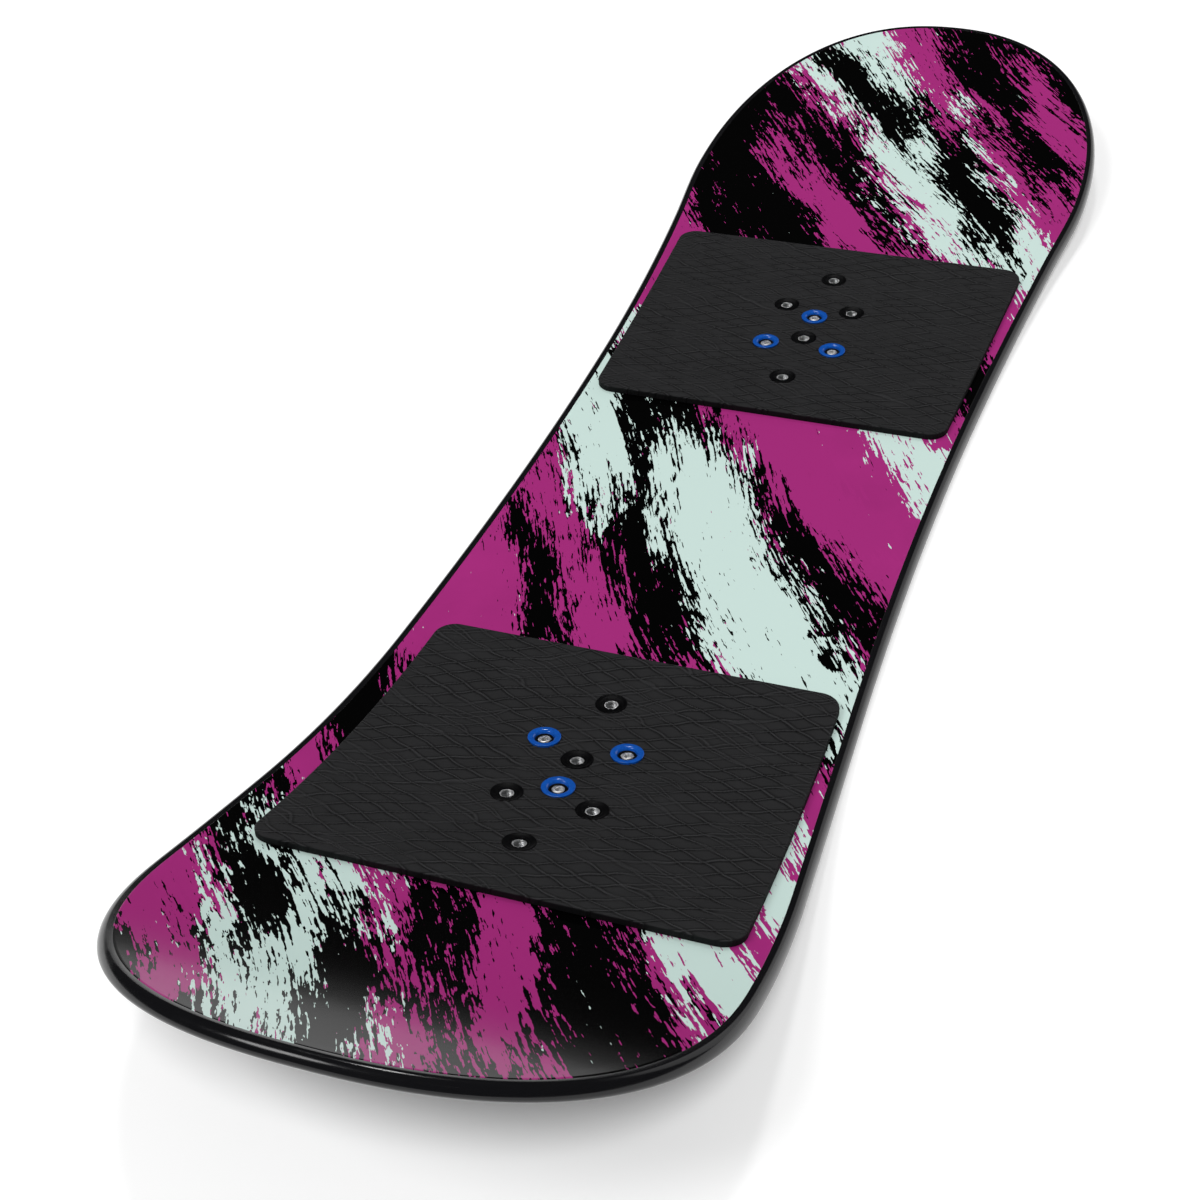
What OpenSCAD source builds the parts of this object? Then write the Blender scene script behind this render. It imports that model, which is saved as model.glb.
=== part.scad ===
// Child's all-mountain snowboard without bindings.
// Layered board with a black side rim, two glued foot pads, and eight threaded
// inserts under each pad: five stand open in black cups, three carry a plug screw
// inside a blue ring on a black seat.
// Origin: middle of the board's length, on its centre line, on the floor.
// +X runs to the nose, +Y to the left edge, +Z up. Millimetres.

/* [Board outline] */
// Overall length, tail tip to nose tip
board_l = 1004; // [900:1:1300]
// Width at the waist
waist_w = 214; // [180:1:280]
// Distance of the waist behind the middle of the board
waist_back = 23; // [0:1:80]
// Radius of the sidecut
sidecut_r = 3205; // [2600:5:9000]
// Length over which the sidecut turns parallel at each end
blend_l = 70; // [40:1:90]
// Widening of each side over the nose blend
nose_flare = 5.5; // [2:0.1:8]
// Widening of each side over the tail blend
tail_flare = 3.2; // [2:0.1:8]
// Length of the nose ahead of its widest place
nose_l = 190; // [140:1:240]
// Length of the tail behind its widest place
tail_l = 117; // [90:1:160]
// Fullness of the nose curve, 2 is an ellipse
nose_full = 2.22; // [2:0.01:2.8]
// Fullness of the tail curve, 2 is an ellipse
tail_full = 2.34; // [2:0.01:2.8]

/* [Side view] */
// Plan length of the curved nose, from the flat to the tip
nose_rise_l = 423; // [300:1:440]
// Plan length of the curved tail, from the flat to the tip
tail_rise_l = 310; // [200:1:360]
// Radius of the running surface under the nose
nose_r = 2507; // [1500:1:4000]
// Radius of the running surface under the tail
tail_r = 619; // [500:1:1500]

/* [Layers] */
// Thickness of the running base
base_t = 1.2; // [1:0.1:2]
// Thickness of each glass laminate
laminate_t = 0.6; // [0.4:0.1:1]
// Thickness of the wood core
core_t = 4; // [3.4:0.1:8]
// Thickness of the printed topsheet
topsheet_t = 0.6; // [0.4:0.1:1]
// Width of the side rim
rim_w = 5; // [2:0.1:8]
// Length of the plastic spacer in the nose
nose_spacer_l = 60; // [30:1:100]
// Length of the plastic spacer in the tail
tail_spacer_l = 50; // [30:1:100]

/* [Pads] */
// Distance between the centres of the two pads
stance = 400; // [300:1:440]
// Distance of the stance centre behind the middle of the board
setback = 72; // [40:1:80]
// Distance of the rear pad and its inserts to the right of the centre line
rear_side = 4.4; // [0:0.1:6]
// Length of a pad along the board
pad_l = 180; // [144:1:220]
// Distance from the waist edge of the board to a pad's inner corner
pad_inset = 10.5; // [6:0.5:20]
// Widening of each pad side from its inner to its outer end
pad_flare = 7; // [0:0.5:9]
// Thickness of a pad
pad_t = 3.6; // [3:0.1:8]
// Thickness of the adhesive sheet under a pad
adhesive_t = 0.4; // [0.2:0.1:0.5]
// Distance from a pad's edge to its adhesive's edge
adhesive_inset = 1.5; // [0.5:0.1:4]
// Corner radius of a pad
pad_corner_r = 10; // [5:0.5:20]

/* [Insert pattern] */
// Side of the three-hole triangle
triangle_side = 38; // [34:0.5:46]
// Distance from a pad's centre to the base of each triangle
triangle_x = 21.6; // [18:0.1:26]
// Distance from a pad's centre to each end insert
end_x = 54.5; // [50:0.5:60]

/* [Inserts, cups and rings] */
// Radius of the insert's bore, M6 core hole
bore_r = 2.5; // [2:0.1:3]
// Wall of the insert's sleeve
sleeve_wall = 1.5; // [1.2:0.1:1.8]
// Width of the insert's foot beyond its sleeve
foot_w = 3; // [1:0.1:4]
// Thickness of the insert's foot and of its closed bottom
foot_t = 1; // [0.6:0.1:1.5]
// Gap between an insert's foot and the lower laminate
foot_gap = 0.4; // [0.3:0.1:0.8]
// Depth of the sleeve's mouth below the pad's top
mouth_drop = 0.9; // [0.6:0.1:1.5]
// Gap between the deck and the underside of a cup or seat
seat_gap = 0.35; // [0.3:0.05:0.6]
// Outer radius of a black cup or seat
cup_r = 7.1; // [6.5:0.1:9]
// Width of a black cup's flat lip
cup_lip = 0.5; // [0.3:0.1:1]
// Thickness of the thin floor of a cup or seat over the sleeve
floor_t = 0.2; // [0.1:0.05:0.4]
// Overlap of a cup's floor on the sleeve's end face
cup_cover = 0.9; // [0.5:0.1:1]
// Distance of a blue ring's inner edge outside the sleeve
ring_clear = 0.1; // [0.1:0.05:0.6]
// Widening of a blue ring's opening from its foot to its top
ring_flare = 0.4; // [0.2:0.1:0.8]
// Clearance between a blue ring's foot and the pad
ring_gap = 0.2; // [0.1:0.05:0.3]
// Overhang of a blue ring's flange beyond its hole in the pad
ring_over = 0.2; // [0.1:0.05:0.4]
// Rise of a blue ring above the pad
ring_rise = 0.7; // [0.5:0.05:1]
// Thickness of the flange's outer edge
ring_rim = 0.3; // [0.2:0.05:0.4]
// Width of the bevel on a blue ring's upper edges
ring_bevel = 0.15; // [0.05:0.05:0.15]
// Overlap of a seat's floor on the sleeve's end face
seat_cover = 1.2; // [0.8:0.1:1.3]
// Length of a plug screw in its insert
plug_l = 5; // [4:0.1:6]
// Height of the plug screw's domed end
plug_dome = 0.35; // [0.2:0.05:0.6]
// Width across flats of the plug screw's socket
socket_af = 2.5; // [2:0.1:3]
// Depth of the plug screw's socket
socket_depth = 1.5; // [1:0.1:2.5]

/* [Hidden] */

// Heights of the layers above the running surface
lower_z = base_t;
core_z = lower_z + laminate_t;
upper_z = core_z + core_t;
topsheet_z = upper_z + laminate_t;
board_t = topsheet_z + topsheet_t;

// Stations along the board
nose_x = board_l / 2;
tail_x = -board_l / 2;
nose_wide_x = nose_x - nose_l;
tail_wide_x = tail_x + tail_l;
nose_blend_x = nose_wide_x - blend_l;
tail_blend_x = tail_wide_x + blend_l;
nose_flat_x = nose_x - nose_rise_l;
tail_flat_x = tail_x + tail_rise_l;

// Half widths at the start of each blend and at each widest place
nose_blend_y = sidecut_y(nose_blend_x);
tail_blend_y = sidecut_y(tail_blend_x);
nose_wide_y = nose_blend_y + nose_flare;
tail_wide_y = tail_blend_y + tail_flare;

// Pad places, each with its direction to the waist, and pad sizes
front = [stance / 2 - setback, 0, -1];
rear = [-stance / 2 - setback, -rear_side, 1];
pad_in_y = waist_w / 2 - pad_inset;
pad_out_y = pad_in_y + pad_flare;
pad_top = adhesive_t + pad_t;

// Insert, cup, seat and ring sizes, in heights above the deck
sleeve_r = bore_r + sleeve_wall;
foot_r = sleeve_r + foot_w;
mouth_z = pad_top - mouth_drop;
foot_z = core_z + foot_gap - board_t;
floor_z = mouth_z + floor_t;
cup_hole_r = sleeve_r - cup_cover;
seat_hole_r = sleeve_r - seat_cover;
ring_r = cup_r + ring_over;
ring_in_r = sleeve_r + ring_clear;
ring_foot_r = cup_r - ring_gap;
ring_top = pad_top + ring_rise;
triangle_h = triangle_side * sin(60);
centre_x = triangle_x - triangle_h / 3;

// Room beyond the board for cutting bodies, and how finely curves are drawn
reach = board_l + waist_w;
cut = 1;
n_end = 22;
n_blend = 4;
n_side = 12;
n_corner = 8;
big_fn = 1440;
small_fn = 48;
part_fn = 72;

// Half width along the sidecut, an arc about the waist
function sidecut_y(x) =
    waist_w / 2 + sidecut_r - sqrt(pow(sidecut_r, 2) - pow(x + waist_back, 2));

// Slope of the sidecut, in width per length
function sidecut_slope(x) =
    (x + waist_back) / sqrt(pow(sidecut_r, 2) - pow(x + waist_back, 2));

// Cubic from height a with slope m to height b with no slope, at t of its length l
function blend_y(t, a, b, m, l) =
    a * (2 * pow(t, 3) - 3 * pow(t, 2) + 1) + b * (3 * pow(t, 2) - 2 * pow(t, 3))
    + m * l * (pow(t, 3) - 2 * pow(t, 2) + t);

// Point on a full rounded end, a at its widest place and 90 at its tip
function end_point(a, wide_x, l, wide_y, full) =
    [wide_x + l * pow(sin(a), 2 / full), wide_y * pow(cos(a), 2 / full)];

// Left half of the outline, from the nose tip to the tail tip
function left_edge() = concat(
    [for (i = [0 : n_end])
        end_point(90 - 90 * i / n_end, nose_wide_x, nose_l, nose_wide_y, nose_full)],
    [for (i = [1 : n_blend]) let (t = 1 - i / n_blend)
        [nose_blend_x + t * blend_l,
         blend_y(t, nose_blend_y, nose_wide_y, sidecut_slope(nose_blend_x), blend_l)]],
    [for (i = [1 : n_side])
        let (x = nose_blend_x + (tail_blend_x - nose_blend_x) * i / n_side)
        [x, sidecut_y(x)]],
    [for (i = [1 : n_blend]) let (t = i / n_blend)
        [tail_blend_x - t * blend_l,
         blend_y(t, tail_blend_y, tail_wide_y, -sidecut_slope(tail_blend_x), blend_l)]],
    [for (i = [1 : n_end])
        end_point(90 * i / n_end, tail_wide_x, -tail_l, tail_wide_y, tail_full)]);

// The whole outline, counter-clockwise
function outline() = let (h = left_edge(), n = len(h))
    concat(h, [for (i = [n - 2 : -1 : 1]) [h[i][0], -h[i][1]]]);

// The same outline moved inwards by d
function inset(p, d) = let (n = len(p))
    [for (i = [0 : n - 1])
        let (a = p[(i + n - 1) % n], b = p[(i + 1) % n], t = (b - a) / norm(b - a))
        p[i] + d * [-t[1], t[0]]];

// Height at station x of the surface that lies h above the running surface
function surface_z(x, h) =
    x > nose_flat_x ? nose_r - sqrt(pow(nose_r - h, 2) - pow(x - nose_flat_x, 2)) :
    x < tail_flat_x ? tail_r - sqrt(pow(tail_r - h, 2) - pow(x - tail_flat_x, 2)) : h;

// Slope in degrees at station x of that surface
function surface_a(x, h) =
    x > nose_flat_x ? asin((x - nose_flat_x) / (nose_r - h)) :
    x < tail_flat_x ? asin((x - tail_flat_x) / (tail_r - h)) : 0;

// Unit vector from a to b
function unit(a, b) = (b - a) / norm(b - a);

// Arc of radius r that rounds the corner p, between sides to a and b
function corner(a, p, b, r) =
    let (u = unit(p, a), v = unit(p, b), half = acos(u * v) / 2,
         c = p + unit([0, 0], u + v) * r / sin(half),
         s = p + u * r / tan(half) - c, w = p + v * r / tan(half) - c,
         turn = 180 - 2 * half, side = s[0] * w[1] - s[1] * w[0] > 0 ? 1 : -1,
         start = atan2(s[1], s[0]))
    [for (i = [0 : n_corner])
        c + r * [cos(start + side * turn * i / n_corner),
                 sin(start + side * turn * i / n_corner)]];

// Rise of the deck, dx along its tangent plane at station x
function lift(x, dx) =
    let (a = surface_a(x, board_t))
    cos(a) * (surface_z(x + dx * cos(a), board_t) - surface_z(x, board_t) - dx * sin(a));

// The five open inserts of a pad, each with the station of the plane it stands on and
// its two offsets in that plane. Stations count from the pad's centre to the waist.
// The three of a triangle stand parallel.
function open_places() = [
    [end_x, 0, 0],
    [-centre_x, triangle_h * 2 / 3, 0],
    [-centre_x, -triangle_h / 3, triangle_side / 2],
    [-centre_x, -triangle_h / 3, -triangle_side / 2],
    [-end_x, 0, 0]];

// The three plugged inserts of a pad
function plugged_places() = [
    [centre_x, triangle_h / 3, triangle_side / 2],
    [centre_x, triangle_h / 3, -triangle_side / 2],
    [centre_x, -triangle_h * 2 / 3, 0]];

// Side view of a layer between heights a and b, following the flat and both curves
module layer_section(a, b) {
    translate([tail_flat_x, a])
        square([nose_flat_x - tail_flat_x, b - a]);
    intersection() {
        translate([nose_flat_x, nose_r])
            difference() {
                circle(r = nose_r - a, $fn = big_fn);
                circle(r = nose_r - b, $fn = big_fn);
            }
        translate([nose_flat_x, -cut])
            square([nose_rise_l + cut, nose_r / 2]);
    }
    intersection() {
        translate([tail_flat_x, tail_r])
            difference() {
                circle(r = tail_r - a, $fn = big_fn);
                circle(r = tail_r - b, $fn = big_fn);
            }
        translate([tail_flat_x - tail_rise_l - cut, -cut])
            square([tail_rise_l + cut, tail_r / 2]);
    }
}

// Solid between heights a and b, as wide as the cutting room
module layer(a, b) {
    rotate([90, 0, 0])
        linear_extrude(height = reach, center = true)
            layer_section(a, b);
}

// Upright prism over a plan shape
module plan() {
    translate([0, 0, -cut])
        linear_extrude(height = tail_r / 2)
            children();
}

// Plan shape inside the rim
module inner_plan() {
    polygon(inset(outline(), rim_w));
}

// Stretch of the plan between two stations
module span(x0, x1) {
    translate([x0, -reach / 2])
        square([x1 - x0, reach]);
}

// Puts a child on the deck at each place of a pad, standing out of the surface
module on_deck(pad, places) {
    for (p = places) {
        x = pad[0] + pad[2] * p[0];
        dx = pad[2] * p[1];
        translate([x, pad[1] + p[2], surface_z(x, board_t)])
            rotate([0, -surface_a(x, board_t), 0])
                translate([dx, 0, lift(x, dx)])
                    children();
    }
}

// Every insert of both pads
module on_inserts() {
    for (pad = [front, rear])
        on_deck(pad, concat(open_places(), plugged_places()))
            children();
}

// Holes that the insert sleeves pass through
module sleeve_holes() {
    on_inserts()
        translate([0, 0, foot_z])
            cylinder(r = sleeve_r, h = pad_top - foot_z, $fn = small_fn);
}

// Pockets for the feet of the inserts, open towards the lower laminate
module foot_pockets() {
    on_inserts()
        translate([0, 0, foot_z - foot_gap - cut])
            cylinder(r = foot_r, h = foot_t + foot_gap + cut, $fn = small_fn);
}

// Rounded plan of a pad, moved inwards by d, its wide end away from the waist
module pad_plan(d) {
    i = pad_l / 2 - d;
    w0 = pad_in_y - d;
    w1 = pad_out_y - d;
    r = pad_corner_r - d;
    q = [[-i, -w1], [i, -w0], [i, w0], [-i, w1]];
    polygon([for (k = [0 : 3]) each corner(q[(k + 3) % 4], q[k], q[(k + 1) % 4], r)]);
}

// One sheet of a pad between two heights, with its holes
module pad_sheet(pad, d, z0, z1) {
    difference() {
        intersection() {
            plan()
                translate([pad[0], pad[1]])
                    mirror([pad[2] < 0 ? 1 : 0, 0])
                        pad_plan(d);
            layer(board_t + z0, board_t + z1);
        }
        on_deck(pad, concat(open_places(), plugged_places()))
            translate([0, 0, -cut])
                cylinder(r = cup_r, h = pad_top + 2 * cut, $fn = small_fn);
    }
}

module base_sheet() {
    color("#17171a")
        intersection() {
            plan()
                inner_plan();
            layer(0, lower_z);
        }
}

module lower_laminate() {
    color("#c9cdb4")
        intersection() {
            plan()
                inner_plan();
            layer(lower_z, core_z);
        }
}

module wood_core() {
    color("#c79a5e")
        difference() {
            intersection() {
                plan()
                    intersection() {
                        inner_plan();
                        span(tail_x + tail_spacer_l, nose_x - nose_spacer_l);
                    }
                layer(core_z, upper_z);
            }
            sleeve_holes();
            foot_pockets();
        }
}

module nose_spacer() {
    color("#2c2c30")
        intersection() {
            plan()
                intersection() {
                    inner_plan();
                    span(nose_x - nose_spacer_l, nose_x);
                }
            layer(core_z, upper_z);
        }
}

module tail_spacer() {
    color("#2c2c30")
        intersection() {
            plan()
                intersection() {
                    inner_plan();
                    span(tail_x, tail_x + tail_spacer_l);
                }
            layer(core_z, upper_z);
        }
}

module upper_laminate() {
    color("#c9cdb4")
        difference() {
            intersection() {
                plan()
                    inner_plan();
                layer(upper_z, topsheet_z);
            }
            sleeve_holes();
        }
}

module topsheet() {
    color("#a0307a")
        difference() {
            intersection() {
                plan()
                    inner_plan();
                layer(topsheet_z, board_t);
            }
            sleeve_holes();
        }
}

module rim() {
    color("#141416")
        intersection() {
            plan()
                difference() {
                    polygon(outline());
                    inner_plan();
                }
            layer(0, board_t);
        }
}

module foot_pad(pad) {
    color("#29292b")
        pad_sheet(pad, 0, adhesive_t, pad_top);
}

module adhesive(pad) {
    color("#e4e2d8")
        pad_sheet(pad, adhesive_inset, 0, adhesive_t);
}

// Black cup: a dished ring round the open sleeve, flush with the pad. Black seat: a
// flat ring round the plugged sleeve, with a thin floor inside the blue ring.
module cups(pad) {
    color("#0c0c0d") {
        on_deck(pad, open_places())
            rotate_extrude($fn = part_fn)
                polygon([[sleeve_r, seat_gap], [cup_r, seat_gap], [cup_r, pad_top],
                         [cup_r - cup_lip, pad_top], [sleeve_r, floor_z],
                         [cup_hole_r, floor_z], [cup_hole_r, mouth_z],
                         [sleeve_r, mouth_z]]);
        on_deck(pad, plugged_places())
            rotate_extrude($fn = part_fn)
                polygon([[sleeve_r, seat_gap], [cup_r, seat_gap], [cup_r, mouth_z],
                         [ring_in_r, mouth_z], [ring_in_r, floor_z],
                         [seat_hole_r, floor_z], [seat_hole_r, mouth_z],
                         [sleeve_r, mouth_z]]);
    }
}

// Blue ring: it stands on its seat, and its flange spreads a little over the pad
module rings(pad) {
    open_r = ring_in_r + ring_flare;
    color("#1a50b0")
        on_deck(pad, plugged_places())
            rotate_extrude($fn = part_fn)
                polygon([[ring_in_r, mouth_z], [ring_foot_r, mouth_z],
                         [ring_foot_r, pad_top], [ring_r, ring_top - ring_rim],
                         [ring_r, ring_top - ring_bevel],
                         [ring_r - ring_bevel, ring_top],
                         [open_r + ring_bevel, ring_top],
                         [open_r, ring_top - ring_bevel]]);
}

// Threaded insert: a sleeve with a wide foot, closed at the bottom
module inserts(pad) {
    color("#b9bcc0")
        on_deck(pad, concat(open_places(), plugged_places()))
            difference() {
                union() {
                    translate([0, 0, foot_z])
                        cylinder(r = foot_r, h = foot_t, $fn = part_fn);
                    translate([0, 0, foot_z])
                        cylinder(r = sleeve_r, h = mouth_z - foot_z, $fn = part_fn);
                }
                translate([0, 0, foot_z + foot_t])
                    cylinder(r = bore_r, h = mouth_z - foot_z, $fn = part_fn);
            }
}

// Plug screw: fills the bore down to plug_l, with a low dome and a hexagon socket
module plugs(pad) {
    dome_r = (pow(bore_r, 2) + pow(plug_dome, 2)) / (2 * plug_dome);
    color("#dcdde0")
        on_deck(pad, plugged_places())
            difference() {
                union() {
                    translate([0, 0, mouth_z - plug_l])
                        cylinder(r = bore_r, h = plug_l, $fn = part_fn);
                    intersection() {
                        translate([0, 0, mouth_z + plug_dome - dome_r])
                            sphere(r = dome_r, $fn = part_fn * 4);
                        translate([0, 0, mouth_z - cut])
                            cylinder(r = bore_r, h = cut + plug_dome + cut, $fn = part_fn);
                    }
                }
                translate([0, 0, mouth_z + plug_dome - socket_depth])
                    cylinder(r = socket_af / 2 / cos(30), h = socket_depth + cut, $fn = 6);
            }
}

base_sheet();
lower_laminate();
wood_core();
nose_spacer();
tail_spacer();
upper_laminate();
topsheet();
rim();
foot_pad(front);  // front_pad
foot_pad(rear);  // rear_pad
adhesive(front);  // front_adhesive
adhesive(rear);  // rear_adhesive
cups(front);  // front_cups
cups(rear);  // rear_cups
rings(front);  // front_rings
rings(rear);  // rear_rings
inserts(front);  // front_inserts
inserts(rear);  // rear_inserts
plugs(front);  // front_plugs
plugs(rear);  // rear_plugs
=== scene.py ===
"""Child's snowboard without bindings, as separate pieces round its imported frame."""

import math
from functools import partial

import bmesh
import bpy
import numpy as np
from bpy.props import FloatProperty, FloatVectorProperty, PointerProperty
from mathutils import Matrix, Vector


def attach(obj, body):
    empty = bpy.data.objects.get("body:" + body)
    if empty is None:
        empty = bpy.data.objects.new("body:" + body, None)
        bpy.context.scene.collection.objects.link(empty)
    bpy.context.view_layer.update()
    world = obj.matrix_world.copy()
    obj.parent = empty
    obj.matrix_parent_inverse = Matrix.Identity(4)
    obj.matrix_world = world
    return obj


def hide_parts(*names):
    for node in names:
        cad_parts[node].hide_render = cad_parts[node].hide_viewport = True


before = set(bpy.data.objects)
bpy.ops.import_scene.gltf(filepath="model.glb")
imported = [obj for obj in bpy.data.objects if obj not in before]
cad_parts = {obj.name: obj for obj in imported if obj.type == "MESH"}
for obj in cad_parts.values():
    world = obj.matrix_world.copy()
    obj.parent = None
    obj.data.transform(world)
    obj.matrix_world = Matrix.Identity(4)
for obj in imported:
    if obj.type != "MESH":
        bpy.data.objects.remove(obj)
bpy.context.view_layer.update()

bl_info = {
    "name": "Snowboard",
    "version": (1, 0, 0),
    "blender": (4, 5, 0),
    "location": "3D View > Sidebar > Snowboard",
    "description": "Builds a child's snowboard with two foot pads and their inserts",
    "category": "Add Mesh",
}

MM = 0.001


# Settings

def linear(code):
    """Linear colour of an sRGB hex code: each channel is divided by 12.92 below 0.04045
    and raised to the power 2.4 above it."""
    levels = np.array([int(code[i:i + 2], 16) for i in (1, 3, 5)]) / 255
    return tuple(np.where(levels <= 0.04045, levels / 12.92,
                          ((levels + 0.055) / 1.055) ** 2.4).tolist())


def number(name, description, value, least=0.0, **more):
    """A number setting."""
    return FloatProperty(name=name, description=description, default=value, min=least,
                         **more)


def length(name, description, millimetres):
    """A length setting whose default is given in millimetres."""
    return number(name, description, millimetres * MM, unit="LENGTH", precision=5)


def angle(name, description, degrees):
    """An angle setting whose default is given in degrees."""
    return number(name, description, math.radians(degrees), -math.pi, subtype="ANGLE")


def colour(name, description, code):
    """A colour setting whose default is an sRGB hex code."""
    return FloatVectorProperty(name=name, description=description, default=linear(code),
                               subtype="COLOR", size=3, min=0.0, max=1.0)


class BoardSettings(bpy.types.PropertyGroup):
    """Outline, side view and layers of the board."""
    total: length("Length", "Tail tip to nose tip", 1004)
    waist: length("Waist width", "Width at the narrowest place", 214)
    waist_back: length("Waist setback", "Distance of the waist behind the middle", 23)
    sidecut: length("Sidecut radius", "Radius of the long side arcs", 3205)
    blend: length("Blend length", "Stretch over which a side turns parallel", 70)
    nose_flare: length("Nose flare", "Widening of each side over the nose blend", 5.5)
    tail_flare: length("Tail flare", "Widening of each side over the tail blend", 3.2)
    nose: length("Nose length", "From the widest place to the nose tip", 190)
    tail: length("Tail length", "From the widest place to the tail tip", 117)
    nose_full: number("Nose fullness", "Exponent of the nose curve, 2 is an ellipse",
                      2.22, 2, max=3)
    tail_full: number("Tail fullness", "Exponent of the tail curve, 2 is an ellipse",
                      2.34, 2, max=3)
    nose_rise: length("Nose rise", "From the end of the flat to the nose tip", 423)
    tail_rise: length("Tail rise", "From the end of the flat to the tail tip", 310)
    nose_radius: length("Nose radius", "Radius of the base under the nose", 2507)
    tail_radius: length("Tail radius", "Radius of the base under the tail", 619)
    thickness: length("Thickness", "Base to topsheet", 7)
    base: length("Base thickness", "Thickness of the running base", 1.2)
    topsheet: length("Topsheet thickness", "Thickness of the printed sheet", 0.6)
    laminate: length("Laminate thickness", "Thickness of each glass layer", 0.6)
    rim: length("Rim width", "Width of the side rim", 5)
    gap: length("Rim gap", "Width of the seam between the topsheet and the rim", 0.4)


class PadSettings(bpy.types.PropertyGroup):
    """Places, outline and embossing of the two foot pads."""
    stance: length("Stance", "Distance between the pads' centres", 400)
    setback: length("Setback", "Distance of the stance centre behind the middle", 72)
    rear_side: length("Rear pad offset", "Distance of the rear pad to the right", 4.4)
    along: length("Pad length", "Length along the board", 180)
    inner: length("Inner half width", "Half width at the waist end", 96.5)
    flare: length("Pad flare", "Widening of each side towards the tip", 7)
    corner: length("Corner radius", "Radius of the pad's corners", 10)
    adhesive: length("Adhesive thickness", "Height of the pad's underside", 0.4)
    top: length("Pad height", "Height of the pad's top above the deck", 4)
    edge: length("Edge rounding", "Radius of the pad's upper edge", 0.8)
    pitch: length("Net pitch", "Distance between the embossed ribs along the board", 8.9)
    lean: angle("Rib lean", "Angle between the ribs and the board's length", 66)
    relief: length("Relief", "Height of the embossed ribs above their grooves", 0.42)


class FittingSettings(bpy.types.PropertyGroup):
    """Insert pattern, cups, rings, inserts and plug screws."""
    triangle: length("Triangle side", "Side of the three-hole pattern", 38)
    triangle_x: length("Triangle distance", "Pad centre to each triangle's base", 21.6)
    end: length("End distance", "Pad centre to each end insert", 54.5)
    bore: length("Bore radius", "Radius of the insert's thread at its crests", 2.5)
    thread: length("Thread depth", "Depth of the thread", 0.45)
    thread_pitch: length("Thread pitch", "Distance between the turns", 1.0)
    sleeve: length("Sleeve radius", "Outer radius of the insert", 4)
    foot: length("Foot radius", "Radius of the insert's foot", 7)
    mouth: length("Mouth height", "Height of the sleeve's mouth above the deck", 3.1)
    cup: length("Cup radius", "Outer radius of the black cup", 7.1)
    ring: length("Ring radius", "Outer radius of the blue ring's flange", 7.3)
    ring_foot: length("Ring foot", "Outer radius of the blue ring's foot", 6.9)
    ring_rise: length("Ring rise", "Rise of the blue ring above the pad", 0.7)
    socket: length("Socket width", "Width across flats of the plug's socket", 2.5)


class ColourSettings(bpy.types.PropertyGroup):
    """Colours of the finishes."""
    magenta: colour("Magenta", "Ground colour of the print", "#9b2a73")
    mint: colour("Mint", "Light colour of the print", "#c2d7d1")
    ink: colour("Black ink", "Dark colour of the print", "#020202")
    rim: colour("Rim", "Side rim", "#0f0f11")
    # Painted shade: a darker colour for the pads' walls and rounded edges, which face
    # away from straight up
    pad: colour("Pad", "Top face of the foam pads", "#222223")
    pad_wall_shade: colour("Pad wall", "Cut side of the foam pads", "#0b0b0c")
    cup: colour("Cup", "Moulded cups", "#020203")
    ring: colour("Ring", "Moulded rings", "#0f4a9e")
    steel: colour("Insert", "Plated insert", "#e4e5e6")
    screw: colour("Plug screw", "Plated screw", "#f4f4f4")


class StudioSettings(bpy.types.PropertyGroup):
    """Lamps, floor and camera."""
    front: number("Front lamp", "Strength of the wide lamp behind the camera", 2.0)
    key: number("Key lamp", "Strength of the lamp on the near left", 0.9)
    back: number("Back lamp", "Strength of the small lamp beyond the board", 0.5)
    right: number("Right lamp", "Strength of the lamp on the far right", 0.3)
    room: number("Room light", "Strength of the light from all sides", 0.22)
    ceiling: number("Ceiling", "Brightness of the dark ceiling in mirrors", 0.02)
    floor: length("Floor size", "Width of the floor", 12000)
    camera_at: FloatVectorProperty(
        name="Camera place", description="Place of the camera", unit="LENGTH",
        default=(-891.184 * MM, -269.566 * MM, 611.954 * MM))
    azimuth: angle("Camera azimuth", "Heading of the view, from +X", 21.679)
    elevation: angle("Camera elevation", "Tilt of the view", -36.863)
    roll: angle("Camera roll", "Turn about the view's own line", -3.059)
    lens: number("Lens", "Focal length on a 36 mm sensor", 63.694, 1, unit="CAMERA")


class SnowboardSettings(bpy.types.PropertyGroup):
    """All settings of the snowboard and its stage."""
    board: PointerProperty(type=BoardSettings)
    pads: PointerProperty(type=PadSettings)
    fittings: PointerProperty(type=FittingSettings)
    colours: PointerProperty(type=ColourSettings)
    studio: PointerProperty(type=StudioSettings)


def settings():
    """The scene's snowboard settings."""
    return bpy.context.scene.snowboard


# Board shape

def past_flat(x):
    """Distances of a station ahead of the flat, and behind it as a negative."""
    b = settings().board
    return (np.maximum(x - b.total / 2 + b.nose_rise, 0),
            np.minimum(x + b.total / 2 - b.tail_rise, 0))


def layer_height(x, h):
    """Height at station x of the surface that lies h above the running surface: level
    over the flat, and beyond each end of it a circle about the base's own centre."""
    b = settings().board
    ahead, behind = past_flat(x)
    nose, tail = b.nose_radius - h, b.tail_radius - h
    return h + nose - np.sqrt(nose**2 - ahead**2) + tail - np.sqrt(tail**2 - behind**2)


def layer_slope(x, h):
    """Slope angle of that surface: the arcsine of the distance past the flat over the
    radius, positive on the nose and negative on the tail."""
    b = settings().board
    ahead, behind = past_flat(x)
    return (np.arcsin(ahead / (b.nose_radius - h))
            + np.arcsin(behind / (b.tail_radius - h)))


def sidecut_half_width(x):
    """Half width along the sidecut: half the waist plus the rise of a circle about it."""
    b = settings().board
    return b.waist / 2 + b.sidecut - np.sqrt(b.sidecut**2 - (x + b.waist_back) ** 2)


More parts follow.
